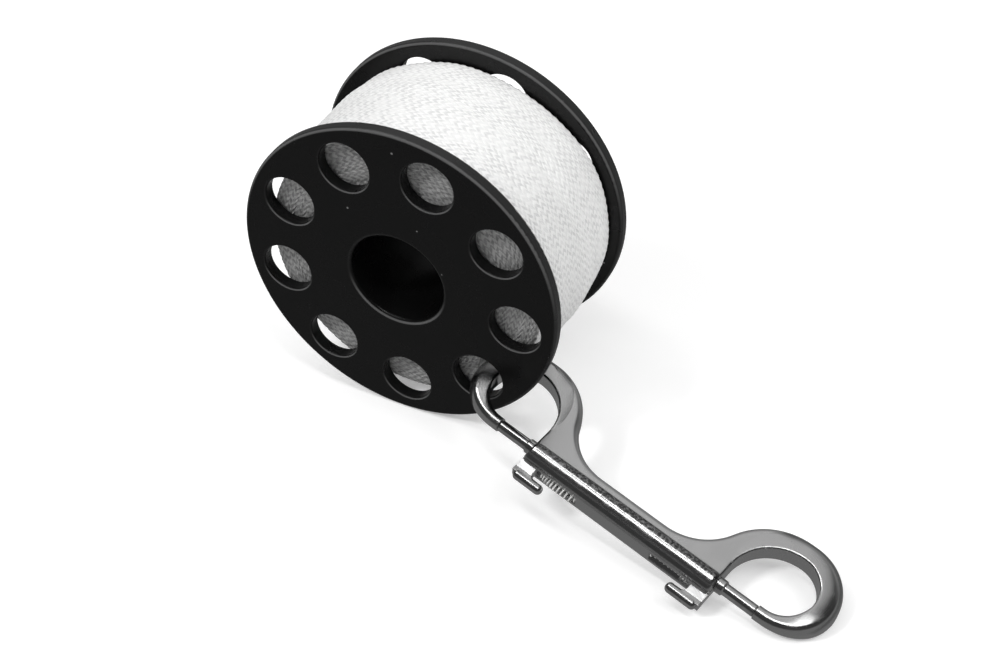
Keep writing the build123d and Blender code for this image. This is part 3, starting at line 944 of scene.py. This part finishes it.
def coil_spring(name, settings, direction, bow, material):
    """One spring: a round wire along a helix in its slot, closed at the slot's end and bowed between.

    Point = axis point + (coil radius + wire radius x cos) outwards + wire radius x sin across the wire.
    The turns crowd towards the neck, and the last stretch is a long quarter turn that draws in towards
    the axis."""
    axis = ALONG * direction
    sideways, facing = snap_ways(settings)
    wire = settings.spring_wire / 2
    origin = np.array(settings.center) - settings.spring_depth * sideways
    turns = settings.spring_turns + CLOSED_TURNS
    t = np.linspace(0, turns, int(turns * COIL_STEPS) + 1)
    closed = CLOSED_TURNS * 2 * wire
    free = settings.spring_end - settings.spring_start
    lead = LEAD_SHARE * free
    inner = free - lead - closed - wire
    share = np.clip((t - CLOSED_TURNS) / settings.spring_turns, 0, 1)
    crowded = share + CROWDED_SHARE * share * (1 - share)
    along = settings.spring_start + wire + closed * np.clip(t / CLOSED_TURNS, 0, 1) + inner * crowded
    angle = 2 * pi * t + pi / 2
    reach = np.full_like(t, settings.spring_radius)
    leads = np.linspace(0, 1, COIL_STEPS)[1:]
    along = np.concatenate([along, along[-1] + lead * leads])
    angle = np.concatenate([angle, angle[-1] + pi / 2 * leads * (2 - leads)])
    reach = np.concatenate([reach, settings.spring_radius * (1 - LEAD_DRAW_SHARE * smooth(leads, 0, 1))])
    radial = np.cos(angle)[:, None] * sideways + np.sin(angle)[:, None] * facing
    share = (along - settings.spring_start) / free
    bulge = bow * smooth(share, 0.0, BOW_END_SHARES[0]) * (1 - smooth(share, BOW_END_SHARES[1], 1.0))
    center = origin + along[:, None] * axis + reach[:, None] * radial - bulge[:, None] * sideways
    way = np.gradient(center, axis=0)
    way /= np.linalg.norm(way, axis=1)[:, None]
    side = np.cross(way, radial)
    side /= np.linalg.norm(side, axis=1)[:, None]
    outward = np.cross(side, way)
    phi = 2 * pi * np.arange(WIRE_STEPS) / WIRE_STEPS
    points = (
        center[:, None]
        + wire * np.cos(phi)[None, :, None] * outward[:, None]
        + wire * np.sin(phi)[None, :, None] * side[:, None]
    )
    n, m = len(center), WIRE_STEPS
    i, j = (a.ravel() for a in np.meshgrid(np.arange(n - 1), np.arange(m), indexing="ij"))
    k = (j + 1) % m
    faces = [np.stack([i * m + j, i * m + k, (i + 1) * m + k, (i + 1) * m + j], axis=1)]
    faces.append(np.arange(m)[None, ::-1])
    faces.append((n - 1) * m + np.arange(m)[None, :])
    piece = new_piece(name, points.reshape(-1, 3), faces, material)
    return piece, origin + settings.spring_start * axis


class SPOOL_OT_coil_springs(bpy.types.Operator):
    """Coils the two springs that press the bolts shut"""

    bl_idname = "spool.coil_springs"
    bl_label = "Coil the springs"

    def execute(self, context):
        settings = context.scene.spool_snap
        material = wire_material(context.scene.spool_finish)
        for side, direction, bow in (("near", -1, settings.near_bow), ("far", 1, settings.far_bow)):
            piece, anchor = coil_spring(f"{side}_coil", settings, direction, bow, material)
            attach(piece, "snap")
            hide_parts(f"{side}_spring")
            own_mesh(piece)
        return {"FINISHED"}


def dress(nodes, material):
    """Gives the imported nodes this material."""
    for name in nodes:
        mesh = frame["nodes"][name].data
        mesh.materials.clear()
        mesh.materials.append(material)


class SPOOL_OT_finish_flanges(bpy.types.Operator):
    """Gives both flanges their moulded plastic"""

    bl_idname = "spool.finish_flanges"
    bl_label = "Finish the flanges"

    def execute(self, context):
        dress(("front_flange", "rear_flange"), plastic_material(context.scene.spool_finish))
        return {"FINISHED"}


class SPOOL_OT_finish_snap(bpy.types.Operator):
    """Gives the snap's casting, bolts and thumb slides their metals"""

    bl_idname = "spool.finish_snap"
    bl_label = "Finish the snap"

    def execute(self, context):
        settings = context.scene.spool_finish
        snap = context.scene.spool_snap
        dress(("snap_body",), cast_material(settings, snap))
        turned_nodes = ("near_bolt", "far_bolt", "near_thumb_slide", "far_thumb_slide")
        dress(turned_nodes, turned_material(settings, snap))
        return {"FINISHED"}


def floor_material(settings):
    """Pale matt floor. A glow for the camera alone makes it white round the object, shadows aside."""
    material, tree, surface, spot = new_material("pale_floor")
    path = put(tree, "ShaderNodeLightPath")
    glow = calculate(tree, "MULTIPLY", path.outputs["Is Camera Ray"], settings.floor_glow)
    feed(
        tree,
        surface,
        {
            "Base Color": tone(settings.floor_colour),
            "Roughness": 0.9,
            "Specular IOR Level": 0.0,
            "Emission Color": (1.0, 1.0, 1.0, 1.0),
            "Emission Strength": glow,
        },
    )
    return material


def card_material(settings):
    """Levels of the room that the metal mirrors: walls, a ceiling patch, two bright windows and ground."""
    material = bpy.data.materials.new("studio_cards")
    material.use_nodes = True
    tree = material.node_tree
    tree.nodes.clear()
    spot = put(tree, "ShaderNodeTexCoord").outputs["Object"]
    way = put(tree, "ShaderNodeVectorMath", {0: spot}, operation="NORMALIZE").outputs[0]
    near = compare(tree, way, Vector(CEILING_WAY).normalized())
    behind = put(tree, "ShaderNodeSeparateXYZ", {0: way}).outputs["Y"]
    wall = ramp(tree, behind, 0.3, 0.95, WALL_LEVEL, BACK_LEVEL)
    ceiling = ramp(tree, near, cos(CEILING_OUTER), cos(CEILING_INNER), wall, settings.ceiling_level)
    for middle, outer, inner in WINDOWS:
        near = compare(tree, way, Vector(middle).normalized())
        ceiling = ramp(tree, near, cos(outer), cos(inner), ceiling, WINDOW_LEVEL)
    height = put(tree, "ShaderNodeSeparateXYZ", {0: way}).outputs["Z"]
    low = calculate(tree, "LESS_THAN", height, 0.0)
    upper = calculate(tree, "MULTIPLY", ceiling, calculate(tree, "SUBTRACT", 1.0, low))
    level = calculate(tree, "MULTIPLY_ADD", low, settings.ground_level, upper)
    glow = put(tree, "ShaderNodeEmission", {"Color": (1.0, 1.0, 1.0, 1.0), "Strength": level})
    put(tree, "ShaderNodeOutputMaterial", {0: glow.outputs[0]})
    return material


def studio_cards(settings):
    """A dome and a floor disc round the object, seen in reflections alone.

    Dome point = radius x (cos turn x cos rise, sin turn x cos rise, sin rise); the disc closes it."""
    turn = 2 * pi * np.arange(CARD_STEPS) / CARD_STEPS
    rise = np.linspace(0, pi / 2, CARD_STEPS // 2)[:-1]
    ring = np.stack([np.cos(turn), np.sin(turn), 0 * turn], axis=1)
    rows = [CARD_RADIUS * (cos(r) * ring + sin(r) * np.array((0.0, 0.0, 1.0))) for r in rise]
    points = np.concatenate([*rows, [(0.0, 0.0, CARD_RADIUS)], [(0.0, 0.0, 0.0)]])
    ground = np.zeros(len(points), bool)
    ground[:CARD_STEPS] = True
    points[ground, 2] = FLOOR_LEVEL + CARD_LIFT
    points[-1, 2] = FLOOR_LEVEL + CARD_LIFT
    cells = np.meshgrid(np.arange(len(rise) - 1), np.arange(CARD_STEPS), indexing="ij")
    i, j = (a.ravel() for a in cells)
    k = (j + 1) % CARD_STEPS
    n = CARD_STEPS
    faces = [np.stack([i * n + j, (i + 1) * n + j, (i + 1) * n + k, i * n + k], axis=1)]
    j = np.arange(n)
    k = (j + 1) % n
    top = (len(rise) - 1) * n
    faces.append(np.stack([top + j, 0 * j + len(points) - 2, top + k], axis=1))
    faces.append(np.stack([j, k, 0 * j + len(points) - 1], axis=1))
    cards = new_piece("studio_cards", points, faces, card_material(settings))
    cards.visible_camera = False
    cards.visible_diffuse = False
    cards.visible_transmission = False
    cards.visible_volume_scatter = False
    cards.visible_shadow = False


class SPOOL_OT_set_stage(bpy.types.Operator):
    """Sets the floor, the soft studio light and the camera"""

    bl_idname = "spool.set_stage"
    bl_label = "Set the stage"

    def execute(self, context):
        settings = context.scene.spool_stage
        scene = context.scene
        corners = FLOOR_HALF_WIDTH * np.array([(-1, -1), (1, -1), (1, 1), (-1, 1)])
        points = np.column_stack([corners, np.full(4, FLOOR_LEVEL)])
        floor = new_piece("floor", points, [np.arange(4)[None, :]], floor_material(settings))
        studio_cards(settings)

        world = bpy.data.worlds.new("studio")
        world.use_nodes = True
        tree = world.node_tree
        tree.nodes.clear()
        path = put(tree, "ShaderNodeLightPath")
        seen = calculate(tree, "MAXIMUM", path.outputs["Is Camera Ray"], path.outputs["Is Glossy Ray"])
        seen = calculate(tree, "MAXIMUM", seen, path.outputs["Is Transmission Ray"])
        soft = put(tree, "ShaderNodeBackground", {"Color": (1, 1, 1, 1), "Strength": settings.sky_strength})
        white = put(tree, "ShaderNodeBackground", {"Color": (1, 1, 1, 1), "Strength": 1.0})
        mixed = put(tree, "ShaderNodeMixShader", {0: seen, 1: soft.outputs[0], 2: white.outputs[0]})
        put(tree, "ShaderNodeOutputWorld", {0: mixed.outputs[0]})
        scene.world = world

        for name, way, distance, length, width, power, mirrored in LAMPS:
            lamp = bpy.data.lights.new(name, "AREA")
            lamp.shape = "RECTANGLE"
            lamp.size = length
            lamp.size_y = width
            lamp.energy = power
            light = bpy.data.objects.new(name, lamp)
            back = Vector(way).normalized()
            right = (Vector(ALONG) - Vector(ALONG).dot(back) * back).normalized()
            turn = Matrix((right, back.cross(right), back)).transposed()
            light.matrix_world = Matrix.Translation(distance * back) @ turn.to_4x4()
            light.visible_glossy = mirrored
            scene.collection.objects.link(light)

        a, e = settings.azimuth, settings.elevation
        right = Vector((cos(a), sin(a), 0.0))
        back = Vector((sin(a) * cos(e), -cos(a) * cos(e), sin(e)))
        turn = Matrix((right, back.cross(right), back)).transposed()
        view = bpy.data.cameras.new("photo_view")
        view.lens = settings.lens
        view.sensor_width = 36.0
        view.clip_start = 0.01
        camera = bpy.data.objects.new("photo_view", view)
        camera.matrix_world = Matrix.Translation(settings.camera_place) @ turn.to_4x4()
        scene.collection.objects.link(camera)
        scene.camera = camera
        scene.view_settings.view_transform = "Standard"
        return {"FINISHED"}


class SPOOL_PT_panel(bpy.types.Panel):
    """Lists the steps that build the spool"""

    bl_idname = "SPOOL_PT_panel"
    bl_label = "Finger Spool"
    bl_space_type = "VIEW_3D"
    bl_region_type = "UI"
    bl_category = "Finger Spool"

    def draw(self, context):
        for operator in OPERATORS:
            self.layout.operator(operator.bl_idname)


OPERATORS = (
    SPOOL_OT_wind_line,
    SPOOL_OT_coil_springs,
    SPOOL_OT_finish_flanges,
    SPOOL_OT_finish_snap,
    SPOOL_OT_set_stage,
)
SETTINGS = {
    "spool_line": LineSettings,
    "spool_snap": SnapSettings,
    "spool_finish": FinishSettings,
    "spool_stage": StageSettings,
}


def register():
    """Registers the settings, operators and panel."""
    for name, group in SETTINGS.items():
        bpy.utils.register_class(group)
        setattr(bpy.types.Scene, name, bpy.props.PointerProperty(type=group))
    for operator in (*OPERATORS, SPOOL_PT_panel):
        bpy.utils.register_class(operator)


def unregister():
    """Removes them again."""
    for operator in (*OPERATORS, SPOOL_PT_panel):
        bpy.utils.unregister_class(operator)
    for name, group in SETTINGS.items():
        delattr(bpy.types.Scene, name)
        bpy.utils.unregister_class(group)


def main():
    """Builds every piece in order."""
    register()
    bpy.ops.spool.wind_line()
    bpy.ops.spool.coil_springs()
    bpy.ops.spool.finish_flanges()
    bpy.ops.spool.finish_snap()
    bpy.ops.spool.set_stage()


if __name__ == "__main__":
    main()
